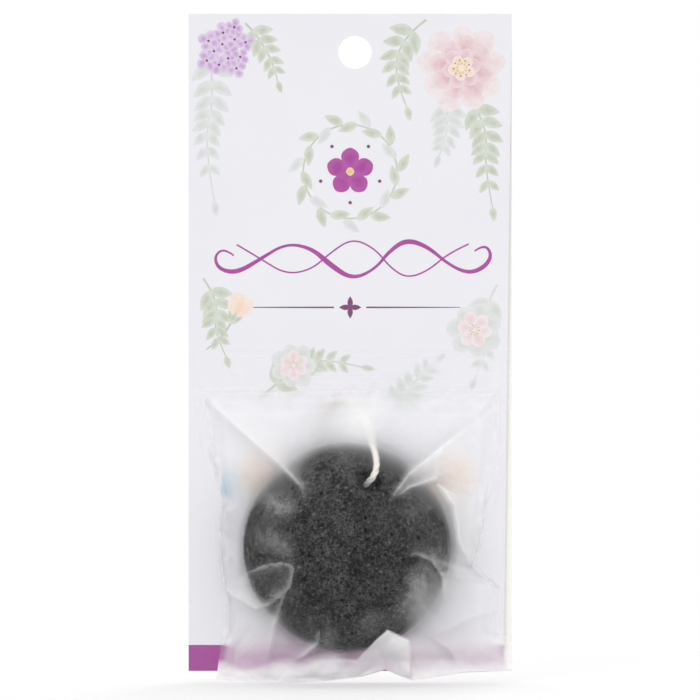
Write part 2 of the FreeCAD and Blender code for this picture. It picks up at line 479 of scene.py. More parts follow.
def konjacMaterial():
    material, tree, shader = newMaterial("konjac")
    place = objectPlace(tree)
    # Matted fibres: bent cell walls, thicker in some patches than in others
    warp = addNode(tree, "ShaderNodeTexNoise", Vector=place, Scale=900.0, Detail=4.0)
    bent = addNode(tree, "ShaderNodeVectorMath", {"operation": "MULTIPLY_ADD"})
    tree.links.new(warp.outputs["Color"], bent.inputs[0])
    bent.inputs[1].default_value = (0.002, 0.002, 0.002)
    tree.links.new(place, bent.inputs[2])
    cells = addNode(tree, "ShaderNodeTexVoronoi", {"feature": "DISTANCE_TO_EDGE"},
                    Vector=bent.outputs[0], Scale=1050.0)
    fibre = remap(tree, cells.outputs["Distance"], 0.0, 0.22, 1.0, 0.0)
    speckle = noiseAt(tree, 900, 7.0, 0.8)
    patch = noiseAt(tree, 170, 5.0, 0.68)
    body = ramp(tree, speckle, [(0.36, (0.002, 0.002, 0.0021, 1)), (0.49, (0.011, 0.0108, 0.0113, 1)),
                                (0.59, (0.05, 0.0495, 0.0508, 1)), (0.69, (0.27, 0.268, 0.273, 1))])
    veil = maths(tree, "MULTIPLY", fibre, remap(tree, patch, 0.42, 0.66, 0.04, 0.62))
    light = mixColour(tree, veil, body, (0.16, 0.159, 0.163, 1))
    pale = remap(tree, noiseAt(tree, 62, 4.0, 0.6), 0.42, 0.66, 0.0, 0.2)
    light = mixColour(tree, maths(tree, "MULTIPLY", pale, remap(tree, speckle, 0.4, 0.6, 0.2, 1.0)), light,
                      (0.13, 0.129, 0.133, 1))
    # Painted shade: the pores, pushed in as hollows, are coloured near black as if shade fell in them
    pore = attribute(tree, "pore")
    poreShadeColour = mixColour(tree, pore, light, (0.002, 0.002, 0.0022, 1))
    tree.links.new(poreShadeColour, shader.inputs["Base Color"])
    shader.inputs["Roughness"].default_value = 0.95
    shader.inputs["Specular IOR Level"].default_value = 0.25
    bumpOn(tree, shader, speckle, 0.9, 0.4 * mm)
    return material


konjacSponge = makeSponge()
finishPiece(konjacSponge, konjacMaterial(), "sponge")
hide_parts("sponge")
print("sponge: faces", len(konjacSponge.data.polygons))


# Film bag: a front film drawn over the sponge and a back film flat on the card

filmLook = {
    "flat": (0.1, 0.101),
    "thickness": 0.1 * mm,
    "columns": 212,
    "rows": 212,
    "clear": 0.3 * mm,        # film to sponge where they touch
    "edge": 0.12 * mm,        # height of the welded rim over the back film
    "billow": 0.06,           # slack of the film between its weld and the sponge
    "softStart": (1.1 * mm, 1.5 * mm),   # how gently it leaves the card, at the sides and above the sponge
    "overCord": 0.35 * mm,    # film over the cord, and how far to its sides the film comes down
    "cordReach": 8 * mm,
    "footLift": 4.5 * mm,     # how far the welded foot curls away from the card, and from which height down
    "footFrom": -187.0 * mm,
    "footWhite": 0.6,         # how white the welded foot is, where the films lie double
    "overSponge": 0.59,       # share of the haze that shows over the dark sponge
    # How much the haze draws in the sponge's rim, every 45 degrees from the right over the top
    "rimFade": [1.045, 1.025, 1.0, 1.02, 1.02, 1.06, 1.025, 1.06, 1.045],
    "domeHaze": 0.3,         # slight haze over the dome, towards its rim
    "foldLine": 0.4 * mm,     # width of a fold's bright line
    # White veil low down on the film, by millimetres right of the hang hole, and the heights where it comes in
    "footVeil": [(-45, 0.2), (-34, 0.22), (-22, 0.04), (9, 0.04), (20, 0.45), (48, 0.42)],
    "veilFrom": (-178 * mm, -184.5 * mm),
    "foldShade": 0.55,        # painted shade: how grey the film's colour is made on the steep side of a fold, where it would turn from the lamps
    "mouthTop": -92.2 * mm,
    "tentTop": -100.5 * mm,   # the film lies flat on the card above this
    "footLevel": -193.0 * mm,
    "spongeRadius": 33 * mm,
    # Distances from the sponge's middle between which something comes in: slack, full haze, haze on the dome
    "slackFrom": (26 * mm, 38 * mm),
    "hazeFrom": (28 * mm, 40 * mm),
    "domeHazeFrom": (12 * mm, 30 * mm),
    "domeHazeEnd": (40 * mm, 34 * mm),
    # Crumples by height, size and seed: all over the loose film, on the flaps and along the foot
    "crumples": [(0.9 * mm, 12 * mm, 3.0), (0.35 * mm, 5 * mm, 8.0)],
    "flapCrumple": (1.5 * mm, 7.5 * mm, 5.0),
    "footCrumple": (1.1 * mm, 6 * mm, 11.0),
}
# Outline, millimetres right and up from the hang hole
filmLeft = [(-50.5, -92.2), (-51.2, -100.1), (-50.3, -106.1), (-49.2, -114.5), (-48.0, -121.3), (-46.4, -126.5),
            (-44.9, -130.9), (-42.7, -138.6), (-43.5, -147.0), (-42.7, -162.4), (-41.2, -169.9), (-41.5, -180.7),
            (-42.8, -193.7)]
filmRight = [(48.5, -92.2), (48.5, -100.5), (48.5, -118.0), (46.2, -132.5), (41.8, -146.0), (37.4, -159.0),
             (39.6, -161.6), (48.2, -166.5), (48.5, -191.2)]
filmFoot = [(-42.8, -193.7), (-28.2, -195.0), (-9.9, -194.3), (2.4, -192.8), (9.3, -190.8), (17.6, -194.0),
            (33.7, -191.7), (48.5, -191.2)]


def sideAt(points, level):
    ordered = sorted(points, key=lambda point: point[1])
    return np.interp(level, [p[1] * mm for p in ordered], [p[0] * mm for p in ordered])


def filmGrid(name):
    columns = filmLook["columns"]
    rows = filmLook["rows"]
    bpy.ops.mesh.primitive_grid_add(x_subdivisions=columns, y_subdivisions=rows, size=2)
    film = bpy.context.object
    film.name = name
    points = getPoints(film)
    across = (points[:, 0] + 1) / 2
    up = (points[:, 1] + 1) / 2
    top = filmLook["mouthTop"]
    level = filmLook["footLevel"] + up * (top - filmLook["footLevel"])
    left = sideAt(filmLeft, level)
    right = sideAt(filmRight, level)
    x = left + across * (right - left)
    low = np.interp(x, [p[0] * mm for p in filmFoot], [p[1] * mm for p in filmFoot])
    z = low + up * (top - low)
    return film, x, z, across, up


def domeOut(across):
    # Height of the sponge's dome over its back, at a distance from its middle
    radius = (spongeHigh.x - spongeLow.x) / 2
    thick = spongeHigh.y - spongeLow.y
    rim = 5 * mm
    side = 14 * mm
    reach = radius - side
    rise = thick - rim
    crown = (reach ** 2 + rise ** 2 - side ** 2) / (2 * (rise - side))
    tilt = math.atan2(reach, crown - rise)
    top = thick - crown + np.sqrt(np.maximum(crown ** 2 - across ** 2, 0))
    flank = rim + np.sqrt(np.maximum(side ** 2 - (across - reach) ** 2, 0))
    return np.where(across < crown * math.sin(tilt), top, np.where(across < radius, flank, 0))


def outlineReach(angles):
    # Distance from the sponge's middle to the film's outline, in each direction
    loop = filmLeft[1:] + filmFoot[1:] + filmRight[1:-1][::-1]
    corners = np.array(loop) * mm - np.array([spongeMid.x, spongeMid.z])
    corners[:, 1] = np.minimum(corners[:, 1], filmLook["tentTop"] - spongeMid.z)
    reach = np.full(len(angles), 1.0)
    ahead = np.stack([np.cos(angles), np.sin(angles)], axis=1)
    for start, end in zip(corners, np.roll(corners, -1, axis=0)):
        run = end - start
        bottom = ahead[:, 0] * run[1] - ahead[:, 1] * run[0]
        bottom = np.where(np.abs(bottom) < 1e-12, 1e-12, bottom)
        far = (start[0] * run[1] - start[1] * run[0]) / bottom
        share = (start[0] * ahead[:, 1] - start[1] * ahead[:, 0]) / bottom
        hit = (share >= -1e-6) & (share <= 1 + 1e-6) & (far > 0)
        reach = np.where(hit, np.minimum(reach, far), reach)
    return reach


def tautTent(x, z):
    # Film drawn tight: on the dome where they touch, and straight from there to the outline
    dx = x - spongeMid.x
    dz = z - spongeMid.z
    across = np.hypot(dx, dz)
    angles = np.radians(np.arange(0, 361, 1.0))
    reach = outlineReach(angles)
    stations = np.linspace(0, 0.0329, 200)
    seat = bagFront - spongeMid.y
    heights = domeOut(stations) + seat + filmLook["clear"]
    slopes = heights[None, :] / np.maximum(reach[:, None] - stations[None, :], 1e-5)
    best = slopes.argmax(axis=1)
    angle = np.arctan2(dz, dx) % (2 * math.pi)
    slope = np.interp(angle, angles, slopes.max(axis=1))
    touch = np.interp(angle, angles, stations[best])
    edge = np.interp(angle, angles, reach)
    straight = slope * np.maximum(edge - across, 0)
    share = np.clip((edge - across) / np.maximum(edge - touch, 1e-5), 0, 1)
    straight = straight + filmLook["billow"] * (edge - touch) * (1 + slope ** 2) * 16 * (share * (1 - share)) ** 2
    sides, above = filmLook["softStart"]
    start = sides + (above - sides) * smoothStep(0.5, 0.8, np.sin(angle))
    straight = np.sqrt(straight ** 2 + start ** 2) - start
    onDome = domeOut(across) + seat + filmLook["clear"]
    return np.where(across < touch, onDome, np.maximum(straight, 0)), across


# Creases of the front film: a path in millimetres from the hang hole, how far the film stands up along it, how
# wide it fades out to the left and to the right of the path, and how white the fold itself is
creases = [
    # Two long folds that run in from the bag's shoulders
    ([(-51.2, -100.1), (-46.7, -106.7), (-37.8, -114.3), (-22.9, -127.1), (-16.7, -133.3),
      (-15.0, -138.8)],
     [0.0, 0.3, 0.9, 2.0, 1.3, 0.1], 3.8, 1.0, 0.4),
    ([(48.5, -106.4), (30.3, -118.8), (16.5, -129.8), (9.9, -138.8)],
     [0.0, 0.7, 1.9, 0.2], 3.2, 1.0, 0.4),
    ([(9.9, -138.8), (16.5, -134.0), (24.8, -131.2)],
     [0.2, 1.0, 1.4], 2.4, 0.6, 0.42),
    # Edge of the flap at the right
    ([(25.1, -133.3), (30.3, -140.2), (32.0, -151.3), (37.2, -160.3)],
     [0.2, 1.0, 1.2, 0.3], 2.6, 0.4, 0.6),
    # Fold at the lower right, with a ridge on to the bag's side
    ([(14.7, -154.0), (19.5, -154.4), (23.4, -156.1), (26.8, -161.6), (27.5, -168.5)],
     [0.2, 0.9, 1.5, 1.6, 0.3], 2.4, 0.6, 0.38),
    ([(23.4, -156.1), (37.2, -160.6), (48.0, -166.5)],
     [0.8, 1.8, 0.2], 1.6, 2.2, 0.28),
    # Pocket at the lower left and the fold that runs down from it
    ([(-33.6, -160.9), (-28.0, -158.2), (-22.9, -157.1), (-19.6, -157.6), (-18.8, -158.9), (-20.1, -164.4),
      (-25.7, -169.6), (-30.5, -171.3), (-37.4, -167.9), (-40.9, -164.7)],
     [0.6, 1.0, 1.3, 1.5, 1.5, 1.5, 1.8, 2.0, 1.4, 0.3], 0.7, 2.2, 0.34),
    ([(-18.8, -160.3), (-22.3, -168.5), (-25.0, -176.8), (-28.1, -192.7)],
     [0.4, 1.0, 1.4, 0.4], 1.0, 2.2, 0.28),
    ([(-10.6, -176.4), (-11.6, -182.0), (-16.7, -186.5)],
     [0.2, 1.2, 1.6], 0.8, 2.4, 0.4),
    # Short crinkles along the sides and the foot
    ([(-43.0, -139.2), (-38.6, -141.6), (-35.8, -140.0)], [0.2, 1.2, 0.1], 1.4, 0.7, 0.12),
    ([(-43.2, -146.0), (-39.8, -150.4), (-36.4, -151.8)], [0.2, 1.2, 0.1], 0.8, 1.6, 0.12),
    ([(-42.8, -158.5), (-38.4, -155.6), (-35.2, -157.6)], [0.2, 1.0, 0.1], 1.2, 0.8, 0.12),
    ([(44.0, -172.0), (34.0, -174.5), (24.0, -180.0)], [0.2, 1.2, 0.2], 1.4, 2.4, 0.12),
    ([(33.7, -191.7), (29.0, -184.0), (22.0, -179.0)], [0.2, 1.4, 0.2], 1.2, 2.0, 0.12),
    ([(-38.0, -193.0), (-36.5, -184.0), (-30.5, -176.0)], [0.2, 1.2, 0.2], 1.2, 1.8, 0.12),
    ([(45.6, -134.5), (42.0, -147.0), (37.6, -159.0)], [0.2, 1.2, 0.3], 0.8, 2.2, 0.12),
]
# Patches where the film only just lifts off the sponge: place, size, height and haze
patches = [
    ((20.5, -163.0), 6.0, 0.8, 0.27),
    ((17.0, -171.0), 5.5, 0.6, 0.2),
    ((-21.5, -139.5), 4.6, 0.6, 0.22),
    ((-26.0, -139.0), 3.4, 0.4, 0.16),
    ((-26.5, -149.5), 5.0, 0.6, 0.18),
    ((-21.0, -152.5), 4.0, 0.4, 0.16),
    ((-8.5, -180.0), 4.5, 0.6, 0.16),
    ((4.0, -174.5), 5.0, 0.6, 0.12),
    ((-3.0, -126.0), 6.0, 1.0, 0.12),
    ((1.5, -112.5), 6.0, 0.4, 0.45),
    ((18.0, -141.0), 5.0, 0.6, 0.14),
]
# Flaps, where the film is folded over on itself: outline, height of the fold, the way it falls away and how far
flaps = [
    {"outline": [(25.1, -133.3), (30.3, -140.2), (32.0, -151.3), (37.2, -160.3), (41.0, -148.0), (36.0, -138.0)],
     "lift": 1.4, "fall": (1.0, 0.15), "reach": 8.0, "cover": 0.8, "far": 0.0},
    {"outline": [(-16.7, -186.5), (-11.2, -187.9), (0.6, -187.2), (6.1, -181.0), (9.9, -177.5), (16.8, -181.3),
                 (17.5, -193.6), (9.3, -190.8), (2.4, -192.8), (-9.9, -194.3), (-24.0, -194.8), (-20.5, -190.0)],
     "lift": 1.3, "fall": (-0.75, -0.65), "reach": 34.0, "cover": 0.75, "far": 0.1},
]


def toLine(x, z, start, end):
    # Share along a straight line of the place nearest to each point, and the way from there
    run = end - start
    t = np.clip(((x - start[0]) * run[0] + (z - start[1]) * run[1]) / run.dot(run), 0, 1)
    return run, t, x - start[0] - t * run[0], z - start[1] - t * run[1]


def alongPath(x, z, path):
    # Distance to a path, its side and the place along it
    places = np.array(path) * mm
    lengths = np.linalg.norm(np.diff(places, axis=0), axis=1)
    marks = np.concatenate([[0], np.cumsum(lengths)]) / lengths.sum()
    nearest = np.full(x.shape, 1.0)
    side = np.zeros(x.shape)
    share = np.zeros(x.shape)
    for index, (start, end) in enumerate(zip(places, places[1:])):
        run, t, offX, offZ = toLine(x, z, start, end)
        distance = np.hypot(offX, offZ)
        closer = distance < nearest
        nearest = np.where(closer, distance, nearest)
        side = np.where(closer, np.sign(run[0] * offZ - run[1] * offX), side)
        share = np.where(closer, marks[index] + t * (marks[index + 1] - marks[index]), share)
    return nearest, side, share, marks


def creaseRise(x, z):
    total = np.zeros(x.shape)
    white = np.zeros(x.shape)
    shade = np.zeros(x.shape)
    for path, rises, left, right, fold in creases:
        distance, side, share, marks = alongPath(x, z, path)
        rise = np.interp(share, marks, rises)
        width = np.where(side > 0, left, right) * mm
        total = total + rise * mm * np.exp(-distance / width)
        strength = fold * np.clip(rise, 0, 1)
        # A bright line with a wider veil on the side where the film falls off slowly
        line = 0.45 * np.exp(-distance / filmLook["foldLine"]) + 0.55 * np.exp(-distance / (1.3 * width))
        white = np.maximum(white, strength * line)
        # Painted shade: beside a fold, on its steep side, the film's colour is greyed as if that side turned from
        # the lamps
        steep = np.where(side > 0, left < right, right < left)
        beside = np.exp(-distance / (2.2 * mm)) - np.exp(-distance / (0.4 * mm))
        shade = np.maximum(shade, filmLook["foldShade"] * np.clip(rise, 0, 1) * steep * beside)
    return total, white, shade


def patchRise(x, z):
    rise = np.zeros(x.shape)
    haze = np.zeros(x.shape)
    for place, size, tall, veil in patches:
        away = np.hypot(x - place[0] * mm, z - place[1] * mm) / (size * mm)
        shape = np.exp(-away ** 2)
        rise = rise + tall * mm * shape
        haze = haze + veil * shape
    return rise, haze


def cordLift(x, z, tent):
    # The film stands off over the cord and falls to both sides of it
    lift = np.zeros(x.shape)
    inFront = cordPath[cordPath[:, 1] < bagFront - 7 * mm]
    cover = cordLook["diameter"] / 2 + filmLook["overCord"]
    for px, py, pz in inFront[::2]:
        distance = np.hypot(x - px, z - pz)
        need = bagFront - py + cover - tent[distance.argmin()]
        lift = np.maximum(lift, need * np.clip(1 - distance / filmLook["cordReach"], 0, 1))
    return lift


def crumple(x, z, size, seed):
    # Flat facets with sharp folds between them, as crushed film has
    values = []
    for px, pz in zip(x, z):
        distances, _ = noise.voronoi(Vector((px / size + seed, pz / size, seed * 1.7)))
        values.append(distances[1] - distances[0])
    return np.array(values)


def insideOf(x, z, outline):
    # Distance to an outline, above zero inside it
    corners = np.array(outline) * mm
    nearest = np.full(x.shape, 1.0)
    crossings = np.zeros(x.shape, int)
    for start, end in zip(corners, np.roll(corners, -1, axis=0)):
        run, _, offX, offZ = toLine(x, z, start, end)
        nearest = np.minimum(nearest, np.hypot(offX, offZ))
        between = (start[1] > z) != (end[1] > z)
        drop = run[1] if abs(run[1]) > 1e-12 else 1e-12
        crossings += between & (x < start[0] + (z - start[1]) / drop * run[0])
    return np.where(crossings % 2 == 1, nearest, -nearest)


def flapLift(x, z):
    lift = np.zeros(x.shape)
    cover = np.zeros(x.shape)
    for flap in flaps:
        depth = insideOf(x, z, flap["outline"])
        within = smoothStep(-0.2 * mm, 0.45 * mm, depth)
        corners = np.array(flap["outline"]) * mm
        way = np.array(flap["fall"]) / np.hypot(*flap["fall"])
        along = x * way[0] + z * way[1]
        fallen = np.clip((along - (corners @ way).min()) / (flap["reach"] * mm), 0, 1)
        lift = np.maximum(lift, within * flap["lift"] * mm * (1 - 0.7 * fallen))
        white = flap["cover"] + (flap["far"] - flap["cover"]) * fallen
        cover = np.maximum(cover, within * white)
    return lift, cover


def footCurl(x, z):
    # The welded foot stands off the card, most in its middle
    down = np.clip((filmLook["footFrom"] - z) / (6 * mm), 0, 1)
    middle = np.clip(1 - ((x - spongeMid.x) / (54 * mm)) ** 6, 0, 1)
    return filmLook["footLift"] * down * down * (3 - 2 * down) * middle


def makeFrontFilm():
    film, x, z, across, up = filmGrid("bagFrontFilm")
    tent, middle = tautTent(x, z)
    tent = tent + cordLift(x, z, tent)
    rim = np.minimum(np.minimum(across, 1 - across), up)
    free = smoothStep(0.0, 0.05, rim) * smoothStep(1.0, 0.92, up)
    sponge = np.where(middle < filmLook["spongeRadius"], domeOut(middle) + bagFront - spongeMid.y, 0)
    slack = smoothStep(*filmLook["slackFrom"], middle)
    rise, white, shade = creaseRise(x, z)
    puff, haze = patchRise(x, z)
    lift, cover = flapLift(x, z)
    height = tent + (rise + puff) * free
    for tall, size, seed in filmLook["crumples"]:
        height = height + tall * (crumple(x, z, size, seed) - 0.4) * free * slack
    tall, size, seed = filmLook["flapCrumple"]
    height = height + tall * (crumple(x, z, size, seed) - 0.3) * np.clip(lift / mm, 0, 1)
    atFoot = smoothStep(filmLook["footFrom"] + 3 * mm, filmLook["footFrom"] - 2 * mm, z)
    tall, size, seed = filmLook["footCrumple"]
    height = height + tall * crumple(x, z, size, seed) * atFoot
    height = np.maximum(height, sponge + filmLook["clear"]) + lift
    height = np.maximum(height, filmLook["edge"]) + footCurl(x, z)
    setPoints(film, np.stack([x, bagFront - height, z], axis=1))
    # Over the dark sponge the film looks clearer than over the white card
    over = filmLook["overSponge"] + (1 - filmLook["overSponge"]) * smoothStep(*filmLook["hazeFrom"], middle)
    over = over * (1 + 1.4 * smoothStep(filmLook["footFrom"] + 9 * mm, filmLook["footFrom"], z) * slack)
    angle = np.degrees(np.arctan2(z - spongeMid.z, x - spongeMid.x)) % 360
    drawnIn = middle * np.interp(angle, np.arange(0, 361, 45), filmLook["rimFade"])
    seen = np.where(drawnIn < filmLook["spongeRadius"], domeOut(drawnIn) + bagFront - spongeMid.y, 0)
    onDome = smoothStep(*filmLook["domeHazeFrom"], middle) * smoothStep(*filmLook["domeHazeEnd"], middle)
    paint(film, "gap", (height - np.minimum(sponge, seen)) / mm * over + filmLook["domeHaze"] * onDome)
    wavy = z + 1.6 * mm * np.sin(x / (7 * mm)) + 0.9 * mm * np.sin(x / (2.7 * mm) + 1.0)
    weld = filmLook["footWhite"] * smoothStep(filmLook["footFrom"] + 1 * mm, filmLook["footFrom"] - 4 * mm, wavy)
    veil = np.interp(x / mm, *zip(*filmLook["footVeil"])) * smoothStep(*filmLook["veilFrom"], z)
    paint(film, "folded", np.maximum(np.maximum(cover, weld), veil))
    paint(film, "haze", np.maximum(white * free, np.minimum(haze, 0.5)))
    # Painted shade beside the folds goes to the material as the shade attribute
    paint(film, "shade", shade * free)
    thicken(film, filmLook["thickness"])
    bpy.ops.object.shade_smooth()
    return film


def makeBackFilm():
    film, x, z, across, up = filmGrid("bagBackFilm")
    setPoints(film, np.stack([x, bagFront + 0.1 * mm - footCurl(x, z), z], axis=1))
    paint(film, "gap", np.full(x.shape, 0.1))
    thicken(film, filmLook["thickness"])
    return film


def letLampsThrough(tree, surface, clear):
    # Lamps and light from the neighbours shine through, so what lies behind is lit
    path = addNode(tree, "ShaderNodeLightPath")
    passing = maths(tree, "MAXIMUM", path.outputs["Is Shadow Ray"], path.outputs["Is Diffuse Ray"])
    showSurface(tree, mixShaders(tree, passing, surface, clear.outputs["BSDF"]))


def filmMaterial():
    material, tree, shader = newMaterial("frostedFilm")
    gap = attribute(tree, "gap")
    folded = attribute(tree, "folded")
    grain = noiseAt(tree, 900, 4.0, 0.6)
    # Folds and hazy patches are flecked, because crushed film is white only in spots
    haze = attribute(tree, "haze")
    flecks = noiseAt(tree, 420, 5.0, 0.7)
    flecked = maths(tree, "MULTIPLY", haze, remap(tree, flecks, 0.36, 0.62, 0.6, 1.2))
    folded = maths(tree, "MAXIMUM", folded, flecked)
    # Painted shade: the film's colour is mixed towards grey where the shade attribute marks a fold's steep side
    shade = attribute(tree, "shade")
    paintedShadeColour = mixColour(tree, shade, (0.98, 0.98, 0.983, 1), (0.6, 0.6, 0.62, 1))
    tree.links.new(paintedShadeColour, shader.inputs["Base Color"])
    tree.links.new(remap(tree, folded, 0.0, 1.0, 0.97, 0.08), shader.inputs["Transmission Weight"])
    shader.inputs["Roughness"].default_value = 0.78
    shader.inputs["IOR"].default_value = 1.32
    bumpOn(tree, shader, grain, 0.15, 0.05 * mm)
    # The film turns clear where it lies on something, and hazy as it lifts off
    levels = [(0.04, 0.985), (0.1, 0.95), (0.19, 0.86), (0.28, 0.7), (0.4, 0.48), (0.62, 0.2), (1.0, 0.04)]
    stops = [(at, (level,) * 3 + (1,)) for at, level in levels]
    touching = ramp(tree, remap(tree, gap, 0.0, 8.0, 0.0, 1.0), stops)
    single = maths(tree, "MULTIPLY", touching, remap(tree, folded, 0.04, 0.8, 1.0, 0.0))
    clear = addNode(tree, "ShaderNodeBsdfTransparent", Color=(1, 1, 1, 1))
    letLampsThrough(tree, mixShaders(tree, single, shader.outputs["BSDF"], clear.outputs["BSDF"]), clear)
    return material


frosted = filmMaterial()
frontFilm = makeFrontFilm()
finishPiece(frontFilm, frosted, "pack")
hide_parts("bag_front_film")
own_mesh(frontFilm)
backFilm = makeBackFilm()
finishPiece(backFilm, frosted, "pack")
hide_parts("bag_back_film")
print("film: faces", len(frontFilm.data.polygons))


# Card: coated board, printed outside and plain inside

cardLook = {
    "band": 8.05 * mm,        # height of the coloured band along the foot
    "bandColour": fromSrgb(161, 70, 147),
    "printed": fromSrgb(236, 235, 241),
    "printedPale": fromSrgb(240, 239, 243),
    "plain": fromSrgb(248, 247, 242),
}


def boardMaterial(name, outward):
    # outward is the way the printed side faces along Y
    material, tree, shader = newMaterial(name)
    place = objectPlace(tree)
    split = addNode(tree, "ShaderNodeSeparateXYZ", Vector=place)
    facing = addNode(tree, "ShaderNodeNewGeometry").outputs["Normal"]
    normal = addNode(tree, "ShaderNodeSeparateXYZ", Vector=facing)
    outside = maths(tree, "GREATER_THAN", maths(tree, "MULTIPLY", normal.outputs["Y"], outward), 0.5)
    fibre = noiseAt(tree, 1500, 5.0, 0.65)
    cloud = noiseAt(tree, 26, 3.0)
    cloudy = remap(tree, cloud, 0.35, 0.65, 0.0, 0.5)
    printed = mixColour(tree, cloudy, cardLook["printed"], cardLook["printedPale"])
    inBand = maths(tree, "LESS_THAN", split.outputs["Z"], leafLow.z + cardLook["band"])
    printed = mixColour(tree, inBand, printed, cardLook["bandColour"])
    both = mixColour(tree, outside, cardLook["plain"], printed)
    speck = mixColour(tree, remap(tree, fibre, 0.3, 0.7, 0.0, 0.05), both, (0.45, 0.43, 0.42, 1))
    tree.links.new(speck, shader.inputs["Base Color"])
    shader.inputs["Roughness"].default_value = 0.48
    bumpOn(tree, shader, fibre, 0.12, 0.05 * mm)
    return material


def dressCard():
    front = boardMaterial("boardFront", -1)
    back = boardMaterial("boardBack", 1)
    for node, material in (("card_front_leaf", front), ("card_back_leaf", back)):
        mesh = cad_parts[node].data
        mesh.materials.clear()
        mesh.materials.append(material)
    return back


def makeCrease(material):
    # The fold: the leaves' edges joined by a half-round bend
    low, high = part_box("card_crease")
    outer = (high.y - low.y) / 2
    inner = -leafHigh.y
    bpy.ops.mesh.primitive_plane_add(size=1)
    bend = bpy.context.object
    bend.name = "cardCrease"
    setPoints(bend, [(x, -out, low.z) for out in (outer, inner) for x in (low.x, high.x)])
    bpy.ops.object.mode_set(mode="EDIT")
    bpy.ops.mesh.select_all(action="SELECT")
    bpy.ops.mesh.spin(steps=16, angle=math.pi, center=(0, 0, low.z), axis=(1, 0, 0), dupli=False)
    bpy.ops.mesh.select_all(action="SELECT")
    bpy.ops.mesh.remove_doubles(threshold=0.001 * mm)
    bpy.ops.mesh.normals_make_consistent(inside=False)
    bpy.ops.object.mode_set(mode="OBJECT")
    bend.data.materials.append(material)
    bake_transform(bend)
    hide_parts("card_crease")


boardBack = dressCard()
makeCrease(boardBack)
print("card: dressed")


# Print on the card: flowers, leaves and line work in thin layers of ink. Places are in millimetres from the
# hang hole, to the right and up.

inkLook = {
    "thickness": 0.012 * mm,
    "step": 0.0012 * mm,      # each stroke lies this much higher than the one before it
    "corners": 24,
    "washSize": 2.4 * mm,     # how large the blotches of the wash are
}
inks = {
    "sage": {"inner": fromSrgb(192, 199, 182), "outer": fromSrgb(213, 218, 206)},
    "mist": {"inner": fromSrgb(211, 215, 210), "outer": fromSrgb(225, 227, 227)},
    "blush": {"inner": fromSrgb(230, 210, 210), "outer": fromSrgb(239, 229, 231)},
    "rose": {"inner": fromSrgb(219, 184, 190), "outer": fromSrgb(235, 214, 218)},
    "lilac": {"inner": fromSrgb(196, 160, 206), "outer": fromSrgb(224, 206, 231)},
    "peach": {"inner": fromSrgb(243, 212, 188), "outer": fromSrgb(242, 228, 218)},
    "sky": {"inner": fromSrgb(156, 190, 216), "outer": fromSrgb(200, 217, 230)},
    "plum": {"inner": fromSrgb(104, 52, 98), "outer": fromSrgb(122, 66, 114)},
    "magenta": {"inner": fromSrgb(162, 58, 148), "outer": fromSrgb(176, 78, 160)},
    "gold": {"inner": fromSrgb(222, 192, 132), "outer": fromSrgb(232, 210, 164)},
}
inkStore = {name: [] for name in inks}
inkLevel = {"now": 0.0, "motifs": 0}


def inkMaterial(name):
    ink = inks[name]
    material, tree, shader = newMaterial(name + "Ink")
    rim = attribute(tree, "rim")
    wash = noiseAt(tree, 1 / inkLook["washSize"], 4.0, 0.6)
    spread = maths(tree, "ADD", rim, remap(tree, wash, 0.3, 0.7, -0.35, 0.35))
    colour = mixColour(tree, remap(tree, spread, 0.1, 0.95, 0.0, 1.0), ink["inner"], ink["outer"])
    tree.links.new(colour, shader.inputs["Base Color"])
    fibre = noiseAt(tree, 1500, 5.0, 0.65)
    shader.inputs["Roughness"].default_value = 0.46
    bumpOn(tree, shader, fibre, 0.12, 0.05 * mm)
    return material


def startMotif(level):
    # No two motifs share their levels, so that none of their faces coincide
    inkLevel["motifs"] += 1
    inkLevel["now"] = level + 0.25 * (inkLevel["motifs"] % 4)


def nextLevel():
    inkLevel["now"] += 1
    return leafLow.y - inkLevel["now"] * inkLook["step"]


def petal(length, width, belly, blunt):
    # A flat petal or leaf from the origin to the right: a fan of faces drawn out along its length
    bpy.ops.mesh.primitive_circle_add(vertices=inkLook["corners"], radius=1, fill_type="TRIFAN")
    piece = bpy.context.object
    points = getPoints(piece)
    away = np.hypot(points[:, 0], points[:, 1])
    along = np.clip((points[:, 0] + 1) / 2, 0, 1)
    half = np.abs(np.sin(math.pi * along ** belly)) ** blunt * width / 2
    side = np.where(away > 0.5, np.sign(points[:, 1]) * half, 0)
    setPoints(piece, np.stack([along * length, np.zeros(len(points)), side], axis=1) * mm)
    paint(piece, "rim", (away > 0.5).astype(float))
    return piece


def flowerPetal(length, width):
    return petal(length, width, 1.5, 0.6)


def leafBlade(length, width):
    return petal(length, width, 0.8, 0.85)


def dotOf(radius):
    piece = petal(2 * radius, 2 * radius, 1.0, 0.6)
    setPoints(piece, getPoints(piece) - (radius * mm, 0, 0))
    return piece


def discard(*patterns):
    for pattern in patterns:
        bpy.data.objects.remove(pattern)


def stamp(pattern, ink, place, turn, size=1.0):
    # A copy of a pattern, turned and set down on the card
    piece = pattern.copy()
    piece.data = pattern.data.copy()
    bpy.context.scene.collection.objects.link(piece)
    points = getPoints(piece) * size
    cosTurn = math.cos(math.radians(turn))
    sinTurn = math.sin(math.radians(turn))
    x = points[:, 0] * cosTurn - points[:, 2] * sinTurn + place[0] * mm
    z = points[:, 0] * sinTurn + points[:, 2] * cosTurn + place[1] * mm
    setPoints(piece, np.stack([x, np.full(len(points), nextLevel()), z], axis=1))
    thicken(piece, inkLook["thickness"], 1)
    inkStore[ink].append(piece)


